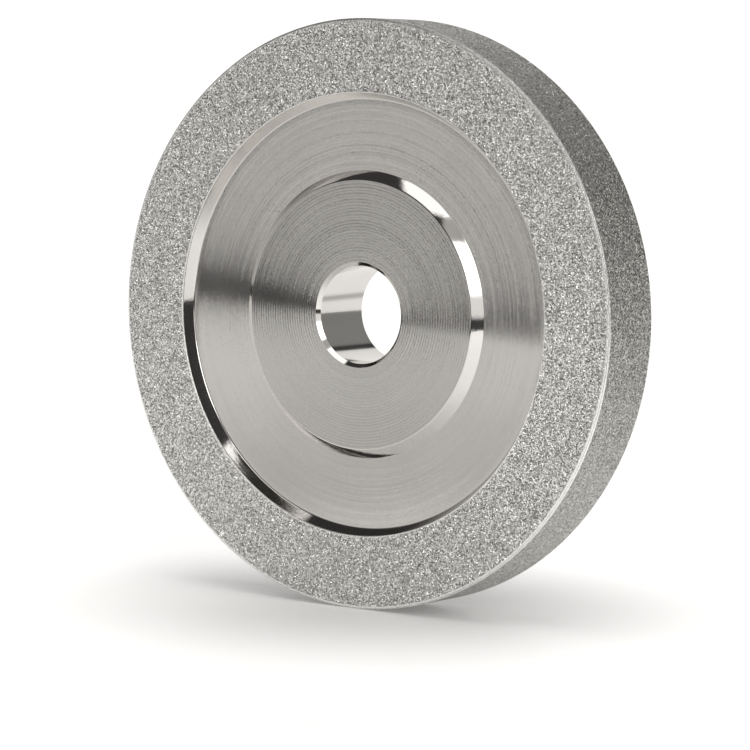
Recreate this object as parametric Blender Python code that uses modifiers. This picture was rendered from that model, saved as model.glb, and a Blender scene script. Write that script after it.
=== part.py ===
"""Electroplated diamond grinding wheel.

A disc turned from solid steel carries a coat of diamond grains held in plated nickel. The coat
covers three working faces: a ring on the front, the whole rim, and a ring on the back. The front
of the disc is recessed around a raised hub, and the disc hangs on a spindle through its bore.

Lengths are in metres and +Z is up. The wheel's axis is Y, its middle is the origin, and its
recessed front faces -Y.
"""

import math

import bpy

MM = 0.001

# Driving dimensions
WHEEL_DIAMETER = 152.4 * MM
WHEEL_WIDTH = 20.6 * MM
BORE_DIAMETER = 25.4 * MM
COAT_THICKNESS = 0.40 * MM
FRONT_COAT_WIDTH = 19.05 * MM
BACK_COAT_WIDTH = 20.0 * MM
RIM_CORNER_RADIUS = 0.80 * MM

# The recess turned into the front face
RECESS_DEPTH = 3.2 * MM
RECESS_WALL_DRAFT = math.radians(28.5)
RECESS_FILLET = 0.50 * MM

# The raised hub, whose side is a polished cone
HUB_FACE_DIAMETER = 70.0 * MM
HUB_FACE_SETBACK = 0.80 * MM
HUB_CONE_RUN = 2.0 * MM
HUB_EDGE_BREAK = 0.20 * MM

# Bore edges and the ground centre of the back face
FRONT_BORE_CHAMFER = 0.95 * MM
BACK_BORE_CHAMFER = 0.50 * MM
BACK_CENTRE_SETBACK = 0.10 * MM

# Clearance that keeps the coat and the steel apart as solids
SEAT_GAP = 0.03 * MM
MITRE_HALF_GAP = math.radians(1.5)

SEGMENTS = 96
CORNER_STEPS = 3
COLLECTION_NAME = "diamond_grinding_wheel"

HALF_WIDTH = WHEEL_WIDTH / 2
RIM_RADIUS = WHEEL_DIAMETER / 2
BORE_RADIUS = BORE_DIAMETER / 2
FRONT_COAT_INNER = RIM_RADIUS - FRONT_COAT_WIDTH
BACK_COAT_INNER = RIM_RADIUS - BACK_COAT_WIDTH
MITRE = math.radians(45)


def clear_scene():
    for obj in list(bpy.data.objects):
        bpy.data.objects.remove(obj, do_unlink=True)


def arc(centre, radius, start, end, steps=CORNER_STEPS):
    """Points of an arc in the (radius, height) plane, angles in radians."""
    points = []
    for step in range(steps + 1):
        angle = start + (end - start) * step / steps
        points.append((centre[0] + radius * math.cos(angle), centre[1] + radius * math.sin(angle)))
    return points


def corner_centre(side):
    """Centre of the rounded corner where the rim meets a face; side is +1 at the front."""
    return (RIM_RADIUS - RIM_CORNER_RADIUS, side * (HALF_WIDTH - RIM_CORNER_RADIUS))


def make_material(name, colour, roughness, metallic):
    material = bpy.data.materials.new(name)
    material.use_nodes = True
    shader = material.node_tree.nodes["Principled BSDF"]
    shader.inputs["Base Color"].default_value = (*colour, 1.0)
    shader.inputs["Roughness"].default_value = roughness
    shader.inputs["Metallic"].default_value = metallic
    return material


def make_turned_part(name, outline, material, collection):
    """Turn a closed outline about the wheel's axis.

    The outline runs down its outer side, from the front (+height) to the back.
    """
    count = len(outline)
    mesh = bpy.data.meshes.new(name)
    vertices = [(radius, 0.0, height) for radius, height in outline]
    edges = [(index, (index + 1) % count) for index in range(count)]
    mesh.from_pydata(vertices, edges, [])
    part = bpy.data.objects.new(name, mesh)
    collection.objects.link(part)

    screw = part.modifiers.new("turn", "SCREW")
    screw.axis = "Z"
    screw.angle = math.tau
    screw.steps = SEGMENTS
    screw.render_steps = SEGMENTS
    screw.use_merge_vertices = True
    screw.merge_threshold = 0.00001

    depsgraph = bpy.context.evaluated_depsgraph_get()
    turned = bpy.data.meshes.new_from_object(part.evaluated_get(depsgraph))
    part.modifiers.clear()
    part.data = turned
    bpy.data.meshes.remove(mesh)
    turned.name = name
    turned.shade_smooth()
    turned.set_sharp_from_angle(angle=math.radians(20))
    turned.materials.append(material)
    return part


def recess_outline():
    """Recess floor and wall, from the foot of the hub out to the edge of the coat."""
    floor = HALF_WIDTH - RECESS_DEPTH
    wall_top = (FRONT_COAT_INNER - SEAT_GAP, HALF_WIDTH - COAT_THICKNESS - SEAT_GAP)
    wall_foot_radius = wall_top[0] - (wall_top[1] - floor) * math.tan(RECESS_WALL_DRAFT)
    tangent = RECESS_FILLET * math.tan((math.pi / 2 - RECESS_WALL_DRAFT) / 2)
    centre = (wall_foot_radius - tangent, floor + RECESS_FILLET)
    return arc(centre, RECESS_FILLET, -math.pi / 2, -RECESS_WALL_DRAFT) + [wall_top]


def hub_outline():
    """Hub, from the bore's front chamfer out to the foot of the hub's cone."""
    face = HALF_WIDTH - HUB_FACE_SETBACK
    floor = HALF_WIDTH - RECESS_DEPTH
    hub_radius = HUB_FACE_DIAMETER / 2
    drop = (face - floor) * HUB_EDGE_BREAK / HUB_CONE_RUN
    return [
        (BORE_RADIUS, face - FRONT_BORE_CHAMFER),
        (BORE_RADIUS + FRONT_BORE_CHAMFER, face),
        (hub_radius - HUB_EDGE_BREAK, face),
        (hub_radius + HUB_EDGE_BREAK / 2, face - drop),
        (hub_radius + HUB_CONE_RUN, floor),
    ]


def back_outline():
    """Back of the disc: the seat of the back coat, the ground centre and the bore's back edge."""
    seat = -(HALF_WIDTH - COAT_THICKNESS - SEAT_GAP)
    centre_face = -(HALF_WIDTH - BACK_CENTRE_SETBACK)
    return [
        (BACK_COAT_INNER - SEAT_GAP, seat),
        (BACK_COAT_INNER - SEAT_GAP, centre_face),
        (BORE_RADIUS + BACK_BORE_CHAMFER, centre_face),
        (BORE_RADIUS, centre_face + BACK_BORE_CHAMFER),
    ]


def core_outline():
    """The steel disc, from the front corner down its rim, over the back and up the bore."""
    corner = RIM_CORNER_RADIUS - COAT_THICKNESS - SEAT_GAP
    right_angle = math.pi / 2
    outline = arc(corner_centre(1), corner, right_angle, 0.0)
    outline += arc(corner_centre(-1), corner, 0.0, -right_angle)
    outline += back_outline()
    outline += hub_outline()
    outline += recess_outline()
    return outline


def face_ring_outline(side, inner_radius):
    """A ring of coat on one face, mitred where it meets the coat of the rim."""
    inner_corner = RIM_CORNER_RADIUS - COAT_THICKNESS
    mitre = MITRE + MITRE_HALF_GAP
    lip = COAT_THICKNESS / 3
    outline = [(inner_radius + lip, HALF_WIDTH)]
    outline += arc(corner_centre(1), RIM_CORNER_RADIUS, math.pi / 2, mitre)
    outline += arc(corner_centre(1), inner_corner, mitre, math.pi / 2, steps=2)
    outline += [(inner_radius, HALF_WIDTH - COAT_THICKNESS), (inner_radius, HALF_WIDTH - lip)]
    if side < 0:
        outline = [(radius, -height) for radius, height in reversed(outline)]
    return outline


def rim_band_outline():
    """The coat around the rim, mitred at both corners."""
    inner_corner = RIM_CORNER_RADIUS - COAT_THICKNESS
    mitre = MITRE - MITRE_HALF_GAP
    outline = arc(corner_centre(1), RIM_CORNER_RADIUS, mitre, 0.0)
    outline += arc(corner_centre(-1), RIM_CORNER_RADIUS, 0.0, -mitre)
    outline += arc(corner_centre(-1), inner_corner, -mitre, 0.0, steps=2)
    outline += arc(corner_centre(1), inner_corner, 0.0, mitre, steps=2)
    return outline


def build():
    clear_scene()
    collection = bpy.data.collections.new(COLLECTION_NAME)
    bpy.context.scene.collection.children.link(collection)

    axle = bpy.data.objects.new("wheel_axis", None)
    axle.rotation_euler = (math.pi / 2, 0.0, 0.0)
    collection.objects.link(axle)

    pieces = {
        "steel_core": (
            core_outline(),
            make_material("plated_steel", (0.60, 0.59, 0.57), 0.28, 1.0),
        ),
        "diamond_front_ring": (
            face_ring_outline(1, FRONT_COAT_INNER),
            make_material("diamond_front", (0.52, 0.51, 0.48), 0.50, 0.9),
        ),
        "diamond_rim_band": (
            rim_band_outline(),
            make_material("diamond_rim", (0.45, 0.44, 0.42), 0.50, 0.9),
        ),
        "diamond_back_ring": (
            face_ring_outline(-1, BACK_COAT_INNER),
            make_material("diamond_back", (0.50, 0.49, 0.46), 0.50, 0.9),
        ),
    }
    for name, (outline, material) in pieces.items():
        part = make_turned_part(name, outline, material, collection)
        part.parent = axle


build()
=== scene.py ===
"""Looks of the electroplated diamond grinding wheel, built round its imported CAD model.

Lengths are in metres. The wheel's axis is Y, its recessed front faces -Y, and +Z is up.
"""

import math
import random

import bmesh
import bpy
from mathutils import Matrix, Quaternion, Vector


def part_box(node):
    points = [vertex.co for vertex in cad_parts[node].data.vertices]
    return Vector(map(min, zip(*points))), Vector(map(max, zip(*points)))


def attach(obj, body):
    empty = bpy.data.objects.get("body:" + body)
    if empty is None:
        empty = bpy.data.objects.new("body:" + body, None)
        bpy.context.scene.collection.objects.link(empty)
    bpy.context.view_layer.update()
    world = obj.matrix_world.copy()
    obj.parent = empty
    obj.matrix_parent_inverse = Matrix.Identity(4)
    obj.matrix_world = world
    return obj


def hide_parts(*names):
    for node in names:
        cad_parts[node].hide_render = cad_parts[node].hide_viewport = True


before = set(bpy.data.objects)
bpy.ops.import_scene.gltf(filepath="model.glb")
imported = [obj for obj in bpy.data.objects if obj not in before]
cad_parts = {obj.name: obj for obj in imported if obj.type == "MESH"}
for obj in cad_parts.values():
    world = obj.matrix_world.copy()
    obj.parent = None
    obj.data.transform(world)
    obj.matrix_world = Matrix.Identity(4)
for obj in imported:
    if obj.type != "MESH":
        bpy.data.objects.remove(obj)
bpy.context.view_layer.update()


# ---------------------------------------------------------------------------------------------
# Camera. It stands to the right of the wheel's axis and a little above it, so that the front
# and a strip of the rim show. A long lens keeps the circles from bulging.
camera_azimuth = math.radians(35.24)
camera_elevation = math.radians(5.06)
camera_roll = math.radians(1.15)
camera_distance = 0.909
camera_lens = 167.9
camera_aim = Vector((0.0001, -0.0017, -0.0160))

camera_back = Vector((
    math.sin(camera_azimuth) * math.cos(camera_elevation),
    -math.cos(camera_azimuth) * math.cos(camera_elevation),
    math.sin(camera_elevation),
))
camera_data = bpy.data.cameras.new("camera")
camera_data.lens = camera_lens
camera_data.clip_start = 0.05
camera_data.clip_end = 50.0
camera = bpy.data.objects.new("camera", camera_data)
camera.location = camera_aim + camera_back * camera_distance
camera.rotation_mode = "QUATERNION"
camera_level = (-camera_back).to_track_quat("-Z", "Y")
camera.rotation_quaternion = camera_level @ Quaternion((0.0, 0.0, 1.0), camera_roll)
bpy.context.scene.collection.objects.link(camera)
bpy.context.scene.camera = camera
bpy.context.scene.view_settings.view_transform = "Standard"


# ---------------------------------------------------------------------------------------------
# Studio. The wheel stands on a white light table. Softboxes glow at the front left, at the front
# right, overhead and behind, with dark cloth between them, because plated metal shows only what
# stands round it.
class Signal:
    """One socket of a node tree. Arithmetic on signals and numbers adds Math nodes."""

    def __init__(self, tree, socket=None):
        self.tree = tree
        self.socket = socket

    def node(self, kind, settings=None, inputs=None, output=0):
        """Add any node: its settings first, then the values or links of its sockets."""
        made = self.tree.nodes.new(kind)
        for name, value in (settings or {}).items():
            setattr(made, name, value)
        for name, value in (inputs or {}).items():
            if isinstance(value, Signal):
                self.tree.links.new(value.socket, made.inputs[name])
            else:
                made.inputs[name].default_value = value
        return Signal(self.tree, made.outputs[output])

    def parts(self):
        """The three numbers of a vector."""
        made = self.node("ShaderNodeSeparateXYZ", inputs={"Vector": self}).socket.node
        return [Signal(self.tree, output) for output in made.outputs]

    def math(self, operation, *values):
        return self.node("ShaderNodeMath", {"operation": operation}, dict(enumerate(values)))

    def vector(self, operation, *values, output=0):
        settings = {"operation": operation}
        return self.node("ShaderNodeVectorMath", settings, dict(enumerate(values)), output)

    def __add__(self, other):
        return self.math("ADD", self, other)

    def __radd__(self, other):
        return self.math("ADD", other, self)

    def __sub__(self, other):
        return self.math("SUBTRACT", self, other)

    def __rsub__(self, other):
        return self.math("SUBTRACT", other, self)

    def __mul__(self, other):
        return self.math("MULTIPLY", self, other)

    def __rmul__(self, other):
        return self.math("MULTIPLY", other, self)

    def __pow__(self, other):
        return self.math("POWER", self, other)

    def ramp_up(self, low, high):
        """0 below low, 1 above high, and a smooth rise between."""
        settings = {"interpolation_type": "SMOOTHSTEP"}
        inputs = {"Value": self, "From Min": low, "From Max": high}
        return self.node("ShaderNodeMapRange", settings, inputs)

    def inside(self, low, high, soft):
        """1 between low and high, falling to 0 over soft on both sides."""
        return self.ramp_up(low - soft, low) * (1.0 - self.ramp_up(high, high + soft))

    def mix(self, low, high):
        """A colour between two others, by this factor. A colour mix has its own numbered sockets."""
        factor_socket, low_socket, high_socket, colour_output = 0, 6, 7, 2
        inputs = {factor_socket: self, low_socket: low, high_socket: high}
        return self.node("ShaderNodeMix", {"data_type": "RGBA"}, inputs, colour_output)


world = bpy.data.worlds.new("studio")
bpy.context.scene.world = world
world.use_nodes = True
sky = Signal(world.node_tree)
direction = sky.node("ShaderNodeTexCoord", output=0)
toward_x, toward_y, toward_z = direction.parts()
bearing = sky.math("ARCTAN2", toward_x, 0.0 - toward_y) * (180.0 / math.pi)
height = sky.math("ARCSINE", toward_z) * (180.0 / math.pi)


def softbox(bearings, heights, glow, soft=3.0):
    """A softly edged panel, in degrees. Bearing 0 is in front of the wheel and 90 to its right."""
    across = bearing.inside(*bearings, soft)
    return across * height.inside(*heights, soft) * glow


# Front right: a large panel with a bright core and a weaker one over it
to_the_right = softbox(bearings=(36.0, 72.0), heights=(14.0, 36.0), glow=2.2, soft=5.0)
to_the_right = to_the_right + softbox(bearings=(30.0, 73.0), heights=(0.0, 39.0), glow=0.95)
to_the_right = to_the_right + softbox(bearings=(28.0, 74.0), heights=(30.0, 66.0), glow=0.45, soft=4.0)

# Front left: a low panel hung slightly askew, with a crisp lower edge and a top that fades out
left_glow = 0.60
left_middle = 38.0
left_slant = 0.09
left_height = height + (bearing + left_middle) * left_slant
to_the_left = bearing.inside(-78.0, 0.0, soft=6.0) * left_height.ramp_up(-3.35, -2.85)
to_the_left = to_the_left * (1.0 - left_height.ramp_up(3.0, 29.0)) * left_glow

# Overhead: one round lamp, a little in front of the wheel and to its right
lamp_direction = (0.134, -0.159, 0.978)
lamp_rim = math.cos(math.radians(25.0))
lamp_core = math.cos(math.radians(22.0))
lamp_glow = 1.5
toward_lamp = sky.vector("DOT_PRODUCT", direction, lamp_direction, output=1)
overhead = toward_lamp.ramp_up(lamp_rim, lamp_core) * lamp_glow

# Behind: two weak panels at the sides and a stronger one between them, for the rim
behind = softbox(bearings=(142.0, 172.0), heights=(-2.0, 36.0), glow=0.22)
behind = behind + softbox(bearings=(-130.0, -84.0), heights=(-2.0, 24.0), glow=0.28)
behind = behind + softbox(bearings=(-174.0, -135.0), heights=(-2.0, 36.0), glow=0.95)

# The camera itself sees a plain white backdrop, and stray light fills the dark cloth a little
stray_light = 0.045
backdrop_white = 1.1
glow = to_the_right + to_the_left + overhead + behind + stray_light
seen_by_camera = sky.node("ShaderNodeLightPath", output=0)
backdrop = seen_by_camera * backdrop_white + (1.0 - seen_by_camera) * glow
background = world.node_tree.nodes["Background"]
background.inputs["Color"].default_value = (1.0, 0.99, 0.97, 1.0)
world.node_tree.links.new(backdrop.socket, background.inputs["Strength"])

# Light table. Its front edge is cut so that a thin dark gap shows between it and the left panel.
MM = 0.001
rim_low, rim_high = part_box("diamond_rim_band")
table_gap = 0.02 * MM

table_corners = [
    (-1.60, -0.990),
    (-0.487, -0.829),
    (0.582, -0.240),
    (1.30, 0.16),
    (1.30, 1.60),
    (-1.60, 1.60),
]
table_mesh = bmesh.new()
table_top = rim_low.z - table_gap
corners = [table_mesh.verts.new((x, y, table_top)) for x, y in table_corners]
table_mesh.faces.new(corners)
table_data = bpy.data.meshes.new("light_table")
table_mesh.to_mesh(table_data)
table_mesh.free()
light_table = bpy.data.objects.new("light_table", table_data)
bpy.context.scene.collection.objects.link(light_table)
table_material = bpy.data.materials.new("white_acrylic")
table_material.use_nodes = True
table_shader = table_material.node_tree.nodes["Principled BSDF"]
table_place = Signal(table_material.node_tree).node("ShaderNodeTexCoord", output=3)

# The glow is painted down at the front left, at the back right and round the wheel's foot: painted
# shade on the table there, and a painted contact shadow round the foot, so that the table doesn't wash
# out the coat and the cones
stage_left = (-0.817, -0.577, 0.0)
stage_front = (0.577, -0.817, 0.0)
painted_shade_depth = 0.80
painted_shade_recovery = 0.38
foot_shadow_level = 0.22
black = (0.0, 0.0, 0.0, 1.0)
warm_white = (1.0, 0.99, 0.975, 1.0)
from_foot = table_place.vector("DISTANCE", table_place, (0.0, 0.0, table_top), output=1)
aside = table_place.vector("DOT_PRODUCT", table_place, stage_left, output=1)
forward = table_place.vector("DOT_PRODUCT", table_place, stage_front, output=1)
# Painted shade on the table at the front left of the wheel
front_left_shade = aside.ramp_up(0.10, 0.17) * forward.ramp_up(-0.06, 0.03)
front_left_shade = front_left_shade * (painted_shade_depth - painted_shade_recovery * aside.ramp_up(0.22, 0.65))
# Painted shade on the table at the back right of the wheel
back_right_shade = (0.0 - aside).ramp_up(0.125, 0.165) * (0.0 - forward).ramp_up(-0.02, 0.05)
back_right_shade = back_right_shade * (1.0 - from_foot.ramp_up(0.19, 0.27))
level = 1.0 - front_left_shade - back_right_shade * painted_shade_depth
# Painted contact shadow round the wheel's foot
level = level * (foot_shadow_level + (1.0 - foot_shadow_level) * from_foot.ramp_up(0.015, 0.115))
shaded_table_glow = level.mix(black, warm_white)
table_material.node_tree.links.new(shaded_table_glow.socket, table_shader.inputs["Emission Color"])
table_shader.inputs["Base Color"].default_value = (0.82, 0.82, 0.82, 1.0)
table_shader.inputs["Roughness"].default_value = 0.5
table_shader.inputs["Emission Strength"].default_value = 0.64
table_data.materials.append(table_material)


# ---------------------------------------------------------------------------------------------
# Steel core. One disc turned from solid bar: a shallow recess round a raised hub, a reamed bore
# and a flat back. A thin nickel flash from the plating bath leaves the cones and edges bright
# and the flats satin, with the circles of the facing cuts still in them.
WHEEL_AXIS = Vector((0.0, 1.0, 0.0))
half_width = -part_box("diamond_front_ring")[0].y
rim_radius = rim_high.x
bore_radius = 12.7 * MM
coat = 0.40 * MM
seat_gap = 0.03 * MM
rim_corner = 0.80 * MM
front_coat_inner = rim_radius - 19.05 * MM
back_coat_inner = rim_radius - 20.0 * MM
recess_floor = half_width - 3.2 * MM
recess_draft = math.radians(28.5)
recess_fillet = 0.50 * MM
hub_face = half_width - 0.80 * MM
hub_radius = 35.0 * MM
hub_cone_run = 2.2 * MM
back_face = -(half_width - 0.10 * MM)
front_chamfer = 0.95 * MM
back_chamfer = 0.50 * MM
edge_break = 0.16 * MM
core_steps = 360
doublings = 3
weld_distance = 0.002 * MM
crease_angle = math.radians(28.0)


def arc(centre, radius, start, end, steps):
    """Points of an arc in the (radius, height) plane; angles in degrees."""
    points = []
    for step in range(steps + 1):
        angle = math.radians(start + (end - start) * step / steps)
        points.append((centre[0] + radius * math.cos(angle), centre[1] + radius * math.sin(angle)))
    return points


def turn(shape, outline, steps, finish=0):
    """Spin an outline of (radius, height) points through one sector, height towards -Y."""
    before = set(shape.faces)
    verts = [shape.verts.new((radius, -height, 0.0)) for radius, height in outline]
    edges = [shape.edges.new(pair) for pair in zip(verts, verts[1:])]
    bmesh.ops.spin(
        shape,
        geom=verts + edges,
        cent=(0.0, 0.0, 0.0),
        axis=WHEEL_AXIS,
        angle=math.tau / 2**doublings,
        steps=steps // 2**doublings,
    )
    for face in set(shape.faces) - before:
        face.material_index = finish


def close_circle(shape):
    """Copy the sector round the axis, doubling it until the circle is full."""
    for doubling in range(doublings):
        everything = shape.verts[:] + shape.edges[:] + shape.faces[:]
        copied = bmesh.ops.duplicate(shape, geom=everything)["geom"]
        bmesh.ops.rotate(
            shape,
            verts=[item for item in copied if isinstance(item, bmesh.types.BMVert)],
            cent=(0.0, 0.0, 0.0),
            matrix=Matrix.Rotation(math.tau * 2**doubling / 2**doublings, 3, WHEEL_AXIS),
        )
    bmesh.ops.remove_doubles(shape, verts=shape.verts, dist=weld_distance)
    bmesh.ops.recalc_face_normals(shape, faces=shape.faces)


def finish_piece(shape, name, node, materials, smooth):
    """Make the object, hang it on the root body and hide the CAD part that it stands for."""
    data = bpy.data.meshes.new(name)
    shape.to_mesh(data)
    shape.free()
    if smooth:
        data.shade_smooth()
        data.set_sharp_from_angle(angle=crease_angle)
    for material in materials:
        data.materials.append(material)
    piece = bpy.data.objects.new(name, data)
    bpy.context.scene.collection.objects.link(piece)
    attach(piece, "root")
    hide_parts(node)
    return piece


def new_material(name):
    """A material with a metal shader, and the place on the wheel, in millimetres."""
    material = bpy.data.materials.new(name)
    material.use_nodes = True
    tree = material.node_tree
    shader = tree.nodes["Principled BSDF"]
    place = Signal(tree).node("ShaderNodeTexCoord", output=3)
    place = place.vector("SCALE", place)
    place.socket.node.inputs["Scale"].default_value = 1.0 / MM
    return material, shader, place


def radius_at(place):
    """Distance from the wheel's axis."""
    x, y, z = place.parts()
    return place.math("SQRT", x * x + z * z)


def noise(place, scale, detail=2.0, dimensions="3D"):
    """Smooth random grey about 0.5, with scale humps to the millimetre."""
    inputs = {"Scale": scale, "Detail": detail}
    inputs["W" if dimensions == "1D" else "Vector"] = place
    return place.node("ShaderNodeTexNoise", {"noise_dimensions": dimensions}, inputs)


def turned_normal(place, slope):
    """The surface's normal, tipped away from the axis by slope."""
    outward = place.vector("NORMALIZE", place.vector("MULTIPLY", place, (1.0, 0.0, 1.0)))
    tip = place.vector("SCALE", outward)
    tip.tree.links.new(slope.socket, tip.socket.node.inputs["Scale"])
    normal = place.node("ShaderNodeNewGeometry", output=1)
    return place.vector("NORMALIZE", place.vector("ADD", normal, tip))


def turned_nickel(name, colour, roughness, cut_slope, fine_slope):
    """Nickel over a facing cut: tool marks run in circles, so each one tips the normal radially.

    The marks wander in and out, so that none of them closes into a perfect ring.
    """
    material, shader, place = new_material(name)
    radius = radius_at(place)
    cuts = noise(radius, scale=1.9, dimensions="1D") - 0.5
    wander = noise(place, scale=1.8) * 1.5
    fine = noise(radius + wander, scale=17.0, detail=1.0, dimensions="1D") - 0.5
    slope = cuts * cut_slope + fine * fine_slope
    stain = noise(place, scale=0.05, detail=3.0)
    streak = noise(radius, scale=0.8, dimensions="1D")
    dark = tuple(0.90 * part for part in colour) + (1.0,)
    light = tuple(min(1.0, 1.06 * part) for part in colour) + (1.0,)
    base = (stain * 0.8 + streak * 0.2).mix(dark, light)
    rough = roughness * 0.8 + stain * (roughness * 0.4)
    links = material.node_tree.links
    links.new(base.socket, shader.inputs["Base Color"])
    links.new(rough.socket, shader.inputs["Roughness"])
    links.new(turned_normal(place, slope).socket, shader.inputs["Normal"])
    shader.inputs["Metallic"].default_value = 1.0
    return material


def polished_nickel(name, colour, roughness, ripple):
    """Bright nickel on a polished cone: smooth, with the faint ripple of hand finishing."""
    material, shader, place = new_material(name)
    radius = radius_at(place)
    ripples = noise(place, scale=0.9, detail=3.0)
    rings = noise(radius, scale=3.0, dimensions="1D")
    bump = place.node(
        "ShaderNodeBump",
        inputs={"Strength": 1.0, "Distance": ripple * MM, "Height": ripples + rings * 0.3},
    )
    smear = noise(place, scale=0.35, detail=4.0)
    dark = tuple(0.93 * part for part in colour) + (1.0,)
    base = smear.mix(dark, colour + (1.0,))
    rough = roughness * 0.6 + smear * (roughness * 0.8)
    links = material.node_tree.links
    links.new(base.socket, shader.inputs["Base Color"])
    links.new(rough.socket, shader.inputs["Roughness"])
    links.new(bump.socket, shader.inputs["Normal"])
    shader.inputs["Metallic"].default_value = 1.0
    return material


nickel = (0.71, 0.69, 0.665)
# The hub's nickel is the web's nickel painted darker: painted shade for the hub's coarser facing cuts
shaded_hub_nickel = (0.62, 0.605, 0.58)
core_materials = [
    turned_nickel("satin_nickel_web", nickel, roughness=0.055, cut_slope=0.012, fine_slope=0.34),
    turned_nickel("faced_nickel_hub", shaded_hub_nickel, roughness=0.055, cut_slope=0.012, fine_slope=0.26),
    polished_nickel("polished_nickel", nickel, roughness=0.07, ripple=0.008),
    turned_nickel("reamed_nickel_bore", nickel, roughness=0.12, cut_slope=0.03, fine_slope=0.10),
]
WEB, HUB, POLISHED, BORE = range(4)

core = bmesh.new()

# Recess floor, wall and the seat under the coat
fillet_steps = 6
seat_steps = 2
wall_top = (front_coat_inner - seat_gap, half_width - coat - seat_gap)
wall_foot = wall_top[0] - (wall_top[1] - recess_floor) * math.tan(recess_draft)
fillet_run = recess_fillet * math.tan((math.pi / 2 - recess_draft) / 2)
fillet_centre = (wall_foot - fillet_run, recess_floor + recess_fillet)
fillet = arc(fillet_centre, recess_fillet, -90.0, -math.degrees(recess_draft), fillet_steps)
hub_foot = (hub_radius + hub_cone_run, recess_floor)
web_rings = 12
web = []
for ring in range(web_rings + 1):
    share = ring / web_rings
    web.append((hub_foot[0] + (fillet[0][0] - hub_foot[0]) * share, recess_floor))
steel_corner = rim_corner - coat - seat_gap
corner_centre = (rim_radius - rim_corner, half_width - rim_corner)
back_corner_centre = (corner_centre[0], -corner_centre[1])
seat = [wall_top]
seat += arc(corner_centre, steel_corner, 90.0, 0.0, seat_steps)
seat += arc(back_corner_centre, steel_corner, 0.0, -90.0, seat_steps)
seat += [
    (back_coat_inner - seat_gap, -(half_width - coat - seat_gap)),
    (back_coat_inner - seat_gap, back_face),
]
turn(core, web, core_steps, WEB)
turn(core, fillet + [wall_top], core_steps, POLISHED)
turn(core, seat, core_steps, WEB)

# Back centre and bore
back_rings = 16
back_outer = back_coat_inner - seat_gap
back = []
for ring in range(back_rings + 1):
    share = ring / back_rings
    back.append((back_outer + (bore_radius + back_chamfer - back_outer) * share, back_face))
back_edge = [back[-1], (bore_radius, back_face + back_chamfer)]
bore = [back_edge[-1], (bore_radius, hub_face - front_chamfer)]
front_edge = [bore[-1], (bore_radius + front_chamfer, hub_face)]
turn(core, back, core_steps, WEB)
turn(core, back_edge, core_steps, POLISHED)
turn(core, bore, core_steps, BORE)
turn(core, front_edge, core_steps, POLISHED)

# Hub face: one shallow scallop for each turn of the facing tool
groove_pitch = 0.77 * MM
groove_depth = 0.012 * MM
groove_points = 4
face_start = bore_radius + front_chamfer
face_end = hub_radius - 2 * edge_break
groove_count = round((face_end - face_start) / groove_pitch)
hub = []
for point in range(groove_count * groove_points + 1):
    share = point / (groove_count * groove_points)
    sunk = groove_depth * (1.0 - math.cos(math.tau * point / groove_points)) / 2
    hub.append((face_start + (face_end - face_start) * share, hub_face - sunk))

# Hub cone, from the broken edge of the hub face down to a small toe on the recess floor
toe_run = 0.12 * MM
toe_rise = 0.10 * MM
cone = [
    (face_end, hub_face),
    (hub_radius - edge_break, hub_face - edge_break * 0.35),
    (hub_radius, hub_face - edge_break),
    (hub_foot[0] - toe_run, recess_floor + toe_rise),
    hub_foot,
]
turn(core, hub, core_steps, HUB)
turn(core, cone, core_steps, POLISHED)
close_circle(core)
finish_piece(core, "turned_steel_core", "steel_core", core_materials, True)


# ---------------------------------------------------------------------------------------------
# Diamond coat. Coarse diamond grains are tacked to the steel in a nickel bath and plated in to
# about two thirds of their height, so the surface is all points and hollows. It covers a ring on
# the front, the rim and a ring on the back, and the plating rounds over the two corners.
grain_pitch = 0.33 * MM
grain_height = 0.10 * MM
grain_slide = 0.40
grain_margin = 0.40 * MM
grains_per_mm = 3.4
coat_steps = 1440


def diamond_coat(name, colour, dark_colour, grain_tilt, roughness):
    """Bonded grains: each stands at its own angle and shade, with dull nickel between them."""
    material, shader, place = new_material(name)
    inputs = {"Vector": place, "Scale": grains_per_mm}
    cells = place.node("ShaderNodeTexVoronoi", {"feature": "F1"}, inputs)
    cell_node = cells.socket.node
    chance = Signal(place.tree, cell_node.outputs["Color"])
    distance = Signal(place.tree, cell_node.outputs["Distance"])
    shade_of_grain = chance.parts()[0]
    cloud = noise(place, scale=0.08)
    speck = noise(place, scale=4.0)
    tone = shade_of_grain ** 1.2 * 0.80 + speck * 0.16 + cloud * 0.10
    base = tone.mix(dark_colour + (1.0,), colour + (1.0,))
    rough = roughness + distance * 0.35
    tilt = place.vector("SUBTRACT", chance, (0.5, 0.5, 0.5))
    tilt = place.vector("MULTIPLY", tilt, (grain_tilt, grain_tilt, grain_tilt))
    normal = place.node("ShaderNodeNewGeometry", output=1)
    tilted = place.vector("NORMALIZE", place.vector("ADD", normal, tilt))
    links = material.node_tree.links
    links.new(base.socket, shader.inputs["Base Color"])
    links.new(rough.socket, shader.inputs["Roughness"])
    links.new(tilted.socket, shader.inputs["Normal"])
    shader.inputs["Metallic"].default_value = 0.85
    return material


def rows(start, end, pitch):
    """Evenly spaced points between two points of an outline, the first one left out."""
    length = math.dist(start, end)
    count = max(1, round(length / pitch))
    points = []
    for step in range(1, count + 1):
        share = step / count
        points.append((
            start[0] + (end[0] - start[0]) * share,
            start[1] + (end[1] - start[1]) * share,
        ))
    return points


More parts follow.
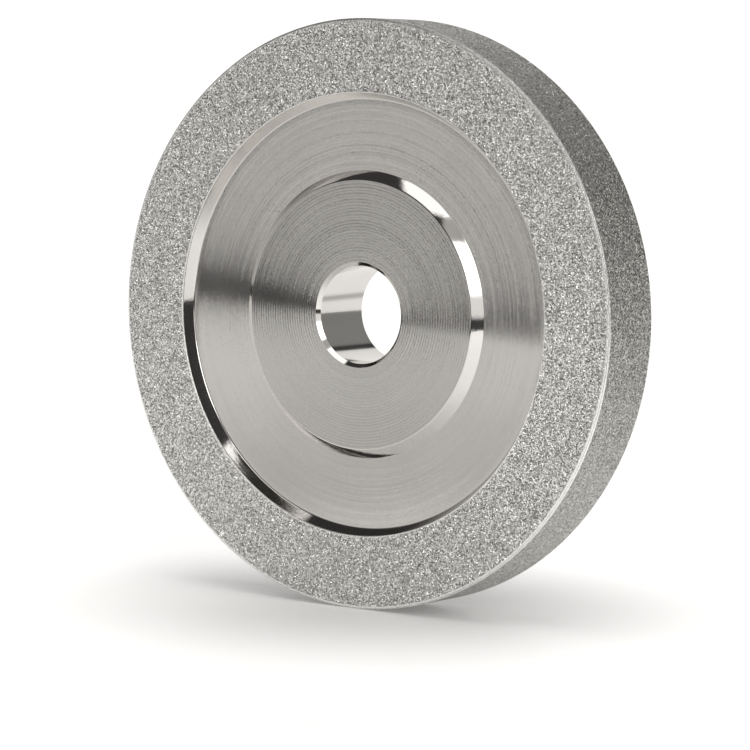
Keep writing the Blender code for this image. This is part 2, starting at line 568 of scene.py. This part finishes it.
def set_grains(shape, seed, facing):
    """Push each point of the working face in and sideways by chance, less near its edges.

    facing gives a point's outward direction and how freely its grains stand there.
    """
    chance = random.Random(seed)
    for vert in shape.verts:
        normal, freedom = facing(vert.co)
        sink = chance.random()
        turn_angle = chance.uniform(0.0, math.tau)
        reach = chance.random() * grain_slide
        if freedom <= 0.0:
            continue
        side = normal.cross(WHEEL_AXIS)
        if side.length < 0.5:
            side = Vector((-vert.co.z, 0.0, vert.co.x))
        side.normalize()
        along = normal.cross(side)
        slide = (side * math.cos(turn_angle) + along * math.sin(turn_angle)) * reach
        vert.co += (slide * grain_pitch - normal * (sink * grain_height)) * freedom


def fade(distance, over):
    """0 at an edge, rising to 1 at the given distance from it."""
    return max(0.0, min(1.0, distance / over))


def finish_coat(shape, name, node, materials):
    """Grains stay faceted, while the plated edges are smooth."""
    bmesh.ops.triangulate(shape, faces=shape.faces, quad_method="SHORT_EDGE")
    for face in shape.faces:
        face.smooth = face.material_index == BEAD
    finish_piece(shape, name, node, materials, False)


lip = 0.16 * MM
mitre = 45.0
mitre_half_gap = 1.5
ring_corner_end = mitre + mitre_half_gap
rim_corner_end = mitre - mitre_half_gap
bead_steps = 3
inner_corner = rim_corner - coat
corner_start = (corner_centre[0], half_width)
surface_tolerance = 0.02 * MM


def face_ring(name, node, side, inner_radius, materials, seed):
    """Coat on one face: working face, rounded corner to the mitre, and its hidden underside.

    side is 1 on the front and -1 on the back. The inner edge rises in a low plated ridge.
    """
    edge = [
        (inner_radius, half_width - coat),
        (inner_radius, half_width - lip),
        (inner_radius + 0.3 * lip, half_width - 0.3 * lip),
        (inner_radius + lip, half_width),
        (inner_radius + 1.6 * lip, half_width - 0.1 * lip),
        (inner_radius + 2.2 * lip, half_width - 0.45 * lip),
    ]
    working = [edge[-1]] + rows(edge[-1], corner_start, grain_pitch)
    bead = arc(corner_centre, rim_corner, 90.0, ring_corner_end, bead_steps)
    under = [bead[-1]] + arc(corner_centre, inner_corner, ring_corner_end, 90.0, 1) + [edge[0]]
    outlines = [(working, GRAINS), (edge, BEAD), (bead, BEAD), (under, GRAINS)]
    shape = bmesh.new()
    for outline, finish in outlines:
        turn(shape, [(radius, side * height) for radius, height in outline], coat_steps, finish)
    close_circle(shape)

    def facing(place):
        radius = math.hypot(place.x, place.z)
        if -place.y * side < half_width - coat / 2:
            return Vector((0.0, -side, 0.0)), 0.0
        inward = fade(radius - edge[-1][0], grain_margin)
        outward = fade(corner_start[0] - radius, grain_margin)
        return Vector((0.0, -side, 0.0)), inward * outward

    set_grains(shape, seed, facing)
    finish_coat(shape, name, node, materials)


def rim_band(name, node, materials, seed):
    """Coat round the rim, from one mitred corner to the other."""
    front_bead = arc(corner_centre, rim_corner, rim_corner_end, 0.0, bead_steps)
    back_bead = arc(back_corner_centre, rim_corner, 0.0, -rim_corner_end, bead_steps)
    working = [front_bead[-1]] + rows(front_bead[-1], back_bead[0], grain_pitch)
    under = [back_bead[-1]] + arc(back_corner_centre, inner_corner, -rim_corner_end, 0.0, 1)
    under += arc(corner_centre, inner_corner, 0.0, rim_corner_end, 1) + [front_bead[0]]
    shape = bmesh.new()
    for outline, finish in [
        (front_bead, BEAD), (working, GRAINS), (back_bead, BEAD), (under, GRAINS),
    ]:
        turn(shape, outline, coat_steps, finish)
    close_circle(shape)

    def facing(place):
        radius = math.hypot(place.x, place.z)
        outward = Vector((place.x, 0.0, place.z)).normalized()
        if radius < rim_radius - surface_tolerance:
            return outward, 0.0
        return outward, fade(corner_centre[1] - abs(place.y), grain_margin)

    set_grains(shape, seed, facing)
    finish_coat(shape, name, node, materials)


GRAINS, BEAD = range(2)
face_light, face_dark = (1.0, 0.99, 0.96), (0.43, 0.424, 0.402)
# The rim's coat is the face's coat with darker colours: painted shade for the rim, which turns away
# from the front lights
shaded_rim_light, shaded_rim_dark = (0.80, 0.785, 0.75), (0.16, 0.157, 0.148)
edge_light, edge_dark = (1.0, 0.99, 0.97), (0.84, 0.83, 0.81)
face_coat = diamond_coat("diamond_coat_face", face_light, face_dark, grain_tilt=1.42, roughness=0.17)
shaded_rim_coat = diamond_coat("shaded_diamond_coat_rim", shaded_rim_light, shaded_rim_dark, grain_tilt=1.45, roughness=0.17)
edge_coat = diamond_coat("plated_edge", edge_light, edge_dark, grain_tilt=0.28, roughness=0.20)
face_ring("front_diamond_ring", "diamond_front_ring", 1, front_coat_inner,
          [face_coat, edge_coat], 11)
rim_band("rim_diamond_band", "diamond_rim_band", [shaded_rim_coat, edge_coat], 12)
face_ring("back_diamond_ring", "diamond_back_ring", -1, back_coat_inner,
          [face_coat, edge_coat], 13)
